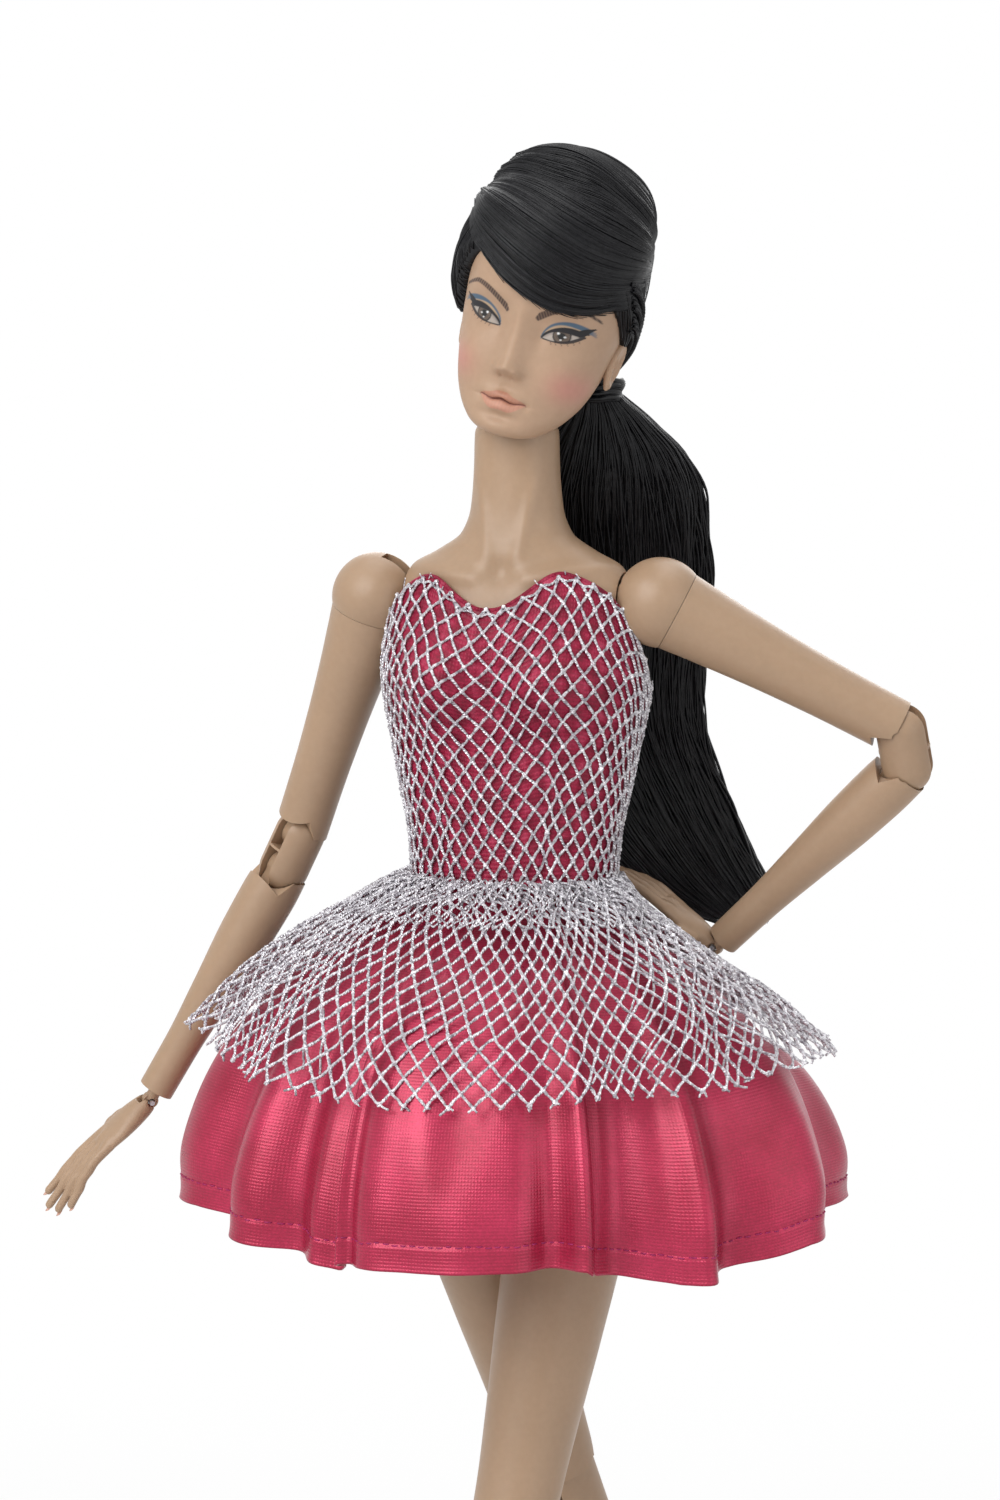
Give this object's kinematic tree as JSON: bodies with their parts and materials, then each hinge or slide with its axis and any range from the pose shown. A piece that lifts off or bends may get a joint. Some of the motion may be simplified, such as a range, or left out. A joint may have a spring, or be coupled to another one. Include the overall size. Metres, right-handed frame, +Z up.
{
  "type": "fashion doll",
  "caption": "Jointed fashion doll, one hand on hip, in a strapless net-covered dress with flared skirt; nodding neck and hinged shoulders, elbows, wrists, hips, knees.",
  "frame": {"origin": "middle of the waist, where the grip of a doll stand holds the doll", "axes": "+Z up through the standing doll, -Y to the viewer of the picture, +X to the side of the hand on the hip"},
  "size_m": [0.1469, 0.0913, 0.3144],
  "materials": {
    "skin_plastic": "satin",
    "skin_vinyl": "satin",
    "joint_plastic": "satin",
    "inner_plastic": "satin",
    "pin_steel": "satin",
    "hair_fibre": "satin",
    "pink_cloth": "matte",
    "pink_lame": "satin",
    "silver_net": "satin",
    "hook_tape": "matte"
  },
  "bodies": {
    "torso": {"torso_front": "skin_plastic", "torso_back": "skin_plastic", "hip_rod": "pin_steel", "neck_pin": "pin_steel", "bodice": "pink_cloth", "bodice_net": "silver_net", "skirt": "pink_lame", "peplum": "silver_net", "back_closure": "hook_tape"},
    "neck_knob": {"neck_knob": "inner_plastic"},
    "head_socket": {"head_socket": "inner_plastic", "head_pin": "pin_steel"},
    "head": {"head": "skin_vinyl", "hair_cap": "hair_fibre", "fringe": "hair_fibre", "hair_tie": "hair_fibre", "ponytail": "hair_fibre"},
    "left_shoulder_disc": {"left_shoulder_disc": "inner_plastic"},
    "left_shoulder_ball": {"left_shoulder_ball": "skin_plastic", "left_shoulder_pin": "pin_steel"},
    "left_upper_arm": {"left_upper_arm": "skin_plastic"},
    "left_elbow_knuckle": {"left_elbow_knuckle": "joint_plastic", "left_elbow_pin_upper": "pin_steel", "left_elbow_pin_lower": "pin_steel"},
    "left_forearm": {"left_forearm": "skin_plastic"},
    "left_wrist_peg": {"left_wrist_peg": "joint_plastic"},
    "left_hand": {"left_hand": "skin_plastic", "left_wrist_pin": "pin_steel"},
    "left_hip_block": {"left_hip_block": "inner_plastic"},
    "left_thigh": {"left_thigh": "skin_plastic", "left_hip_pin": "pin_steel"},
    "left_knee_knuckle": {"left_knee_knuckle": "joint_plastic", "left_knee_pin_upper": "pin_steel", "left_knee_pin_lower": "pin_steel"},
    "left_shin": {"left_shin": "skin_plastic"},
    "right_shoulder_disc": {"right_shoulder_disc": "inner_plastic"},
    "right_shoulder_ball": {"right_shoulder_ball": "skin_plastic", "right_shoulder_pin": "pin_steel"},
    "right_upper_arm": {"right_upper_arm": "skin_plastic"},
    "right_elbow_knuckle": {"right_elbow_knuckle": "joint_plastic", "right_elbow_pin_upper": "pin_steel", "right_elbow_pin_lower": "pin_steel"},
    "right_forearm": {"right_forearm": "skin_plastic"},
    "right_wrist_peg": {"right_wrist_peg": "joint_plastic"},
    "right_hand": {"right_hand": "skin_plastic", "right_wrist_pin": "pin_steel"},
    "right_hip_block": {"right_hip_block": "inner_plastic"},
    "right_thigh": {"right_thigh": "skin_plastic", "right_hip_pin": "pin_steel"},
    "right_knee_knuckle": {"right_knee_knuckle": "joint_plastic", "right_knee_pin_upper": "pin_steel", "right_knee_pin_lower": "pin_steel"},
    "right_shin": {"right_shin": "skin_plastic"}
  },
  "joints": [
    {"name": "neck_nod", "type": "hinge", "parent": "torso", "child": "neck_knob", "pos_m": [0.00046, 0.00143, 0.0697], "axis": [0.9511, -0.309, 0], "range_deg": [-12, 12], "deforming": ["ponytail"]},
    {"name": "neck_tilt", "type": "hinge", "parent": "neck_knob", "child": "head_socket", "pos_m": [0.00035, 0.00108, 0.07669], "axis": [0.3086, 0.9498, 0.0523], "range_deg": [-26, 12], "deforming": ["ponytail"]},
    {"name": "head_turn", "type": "hinge", "parent": "head_socket", "child": "head", "pos_m": [0.00035, 0.00108, 0.07669], "axis": [-0.2466, 0.133, -0.9599], "range_deg": [-60, 60], "deforming": ["ponytail"]},
    {"name": "left_shoulder_swing", "type": "hinge", "parent": "torso", "child": "left_shoulder_disc", "pos_m": [0.02348, -0.00605, 0.04582], "axis": [0.9511, -0.309, 0], "range_deg": [-5, 60]},
    {"name": "left_shoulder_lift", "type": "hinge", "parent": "left_shoulder_disc", "child": "left_shoulder_ball", "pos_m": [0.02348, -0.00605, 0.04582], "axis": [0.2753, 0.8474, 0.454], "range_deg": [-18, 8]},
    {"name": "left_arm_twist", "type": "hinge", "parent": "left_shoulder_ball", "child": "left_upper_arm", "pos_m": [0.02348, -0.00605, 0.04582], "axis": [-0.8849, 0.0388, 0.4642], "range_deg": [-75, 5]},
    {"name": "left_elbow_upper", "type": "hinge", "parent": "left_upper_arm", "child": "left_elbow_knuckle", "pos_m": [0.06224, -0.00775, 0.02549], "axis": [-0.1823, -0.9459, -0.2683], "range_deg": [-5, 54]},
    {"name": "left_elbow_lower", "type": "hinge", "parent": "left_elbow_knuckle", "child": "left_forearm", "pos_m": [0.06345, -0.00625, 0.01939], "axis": [-0.1823, -0.9459, -0.2683], "range_deg": [-6, 48]},
    {"name": "left_wrist_roll", "type": "hinge", "parent": "left_forearm", "child": "left_wrist_peg", "pos_m": [0.03321, 0.00851, -0.01212], "axis": [0.656, -0.3203, 0.6834], "range_deg": [-60, 15]},
    {"name": "left_wrist_flex", "type": "hinge", "parent": "left_wrist_peg", "child": "left_hand", "pos_m": [0.03321, 0.00851, -0.01212], "axis": [0.4052, 0.9134, 0.039], "range_deg": [-120, 3]},
    {"name": "left_hip_swing", "type": "hinge", "parent": "torso", "child": "left_hip_block", "pos_m": [0.01216, -0.00237, -0.03803], "axis": [0.9511, -0.309, 0], "range_deg": [-47, 3], "deforming": ["skirt", "peplum"]},
    {"name": "left_hip_spread", "type": "hinge", "parent": "left_hip_block", "child": "left_thigh", "pos_m": [0.01216, -0.00237, -0.03803], "axis": [0.3011, 0.9267, -0.225], "range_deg": [-30, 1], "deforming": ["skirt", "peplum"]},
    {"name": "left_knee_upper", "type": "hinge", "parent": "left_thigh", "child": "left_knee_knuckle", "pos_m": [-0.00041, -0.01425, -0.10379], "axis": [0.9355, -0.3328, -0.1187], "range_deg": [-4, 40]},
    {"name": "left_knee_lower", "type": "hinge", "parent": "left_knee_knuckle", "child": "left_shin", "pos_m": [-0.00183, -0.01509, -0.11264], "axis": [0.9355, -0.3328, -0.1187], "range_deg": [-4, 40]},
    {"name": "right_shoulder_swing", "type": "hinge", "parent": "torso", "child": "right_shoulder_disc", "pos_m": [-0.02255, 0.0089, 0.04582], "axis": [0.9511, -0.309, 0], "range_deg": [-150, 90]},
    {"name": "right_shoulder_lift", "type": "hinge", "parent": "right_shoulder_disc", "child": "right_shoulder_ball", "pos_m": [-0.02255, 0.0089, 0.04582], "axis": [0.3056, 0.9406, 0.1478], "range_deg": [-6, 50]},
    {"name": "right_arm_twist", "type": "hinge", "parent": "right_shoulder_ball", "child": "right_upper_arm", "pos_m": [-0.02255, 0.0089, 0.04582], "axis": [0.3013, -0.2428, 0.9221], "range_deg": [-90, 90]},
    {"name": "right_elbow_upper", "type": "hinge", "parent": "right_upper_arm", "child": "right_elbow_knuckle", "pos_m": [-0.03575, 0.01954, 0.00544], "axis": [0.5779, -0.7227, -0.3792], "range_deg": [-50, 8]},
    {"name": "right_elbow_lower", "type": "hinge", "parent": "right_elbow_knuckle", "child": "right_forearm", "pos_m": [-0.03841, 0.02043, -0.00031], "axis": [0.5779, -0.7227, -0.3792], "range_deg": [-54, 6]},
    {"name": "right_wrist_roll", "type": "hinge", "parent": "right_forearm", "child": "right_wrist_peg", "pos_m": [-0.06141, 0.02296, -0.04019], "axis": [0.4987, -0.055, 0.865], "range_deg": [-90, 90]},
    {"name": "right_wrist_flex", "type": "hinge", "parent": "right_wrist_peg", "child": "right_hand", "pos_m": [-0.06141, 0.02296, -0.04019], "axis": [-0.3305, 0.9105, 0.2485], "range_deg": [-80, 50]},
    {"name": "right_hip_swing", "type": "hinge", "parent": "torso", "child": "right_hip_block", "pos_m": [-0.01123, 0.00523, -0.03803], "axis": [0.9511, -0.309, 0], "range_deg": [-5, 10], "deforming": ["skirt", "peplum"]},
    {"name": "right_hip_spread", "type": "hinge", "parent": "right_hip_block", "child": "right_thigh", "pos_m": [-0.01123, 0.00523, -0.03803], "axis": [0.2985, 0.9187, 0.2588], "range_deg": [-3, 30], "deforming": ["skirt", "peplum"]},
    {"name": "right_knee_upper", "type": "hinge", "parent": "right_thigh", "child": "right_knee_knuckle", "pos_m": [0.00753, 0.01723, -0.10227], "axis": [0.9136, -0.3534, 0.2008], "range_deg": [-3, 56]},
    {"name": "right_knee_lower", "type": "hinge", "parent": "right_knee_knuckle", "child": "right_shin", "pos_m": [0.0102, 0.01939, -0.11059], "axis": [0.9136, -0.3534, 0.2008], "range_deg": [-4, 55]}
  ]
}
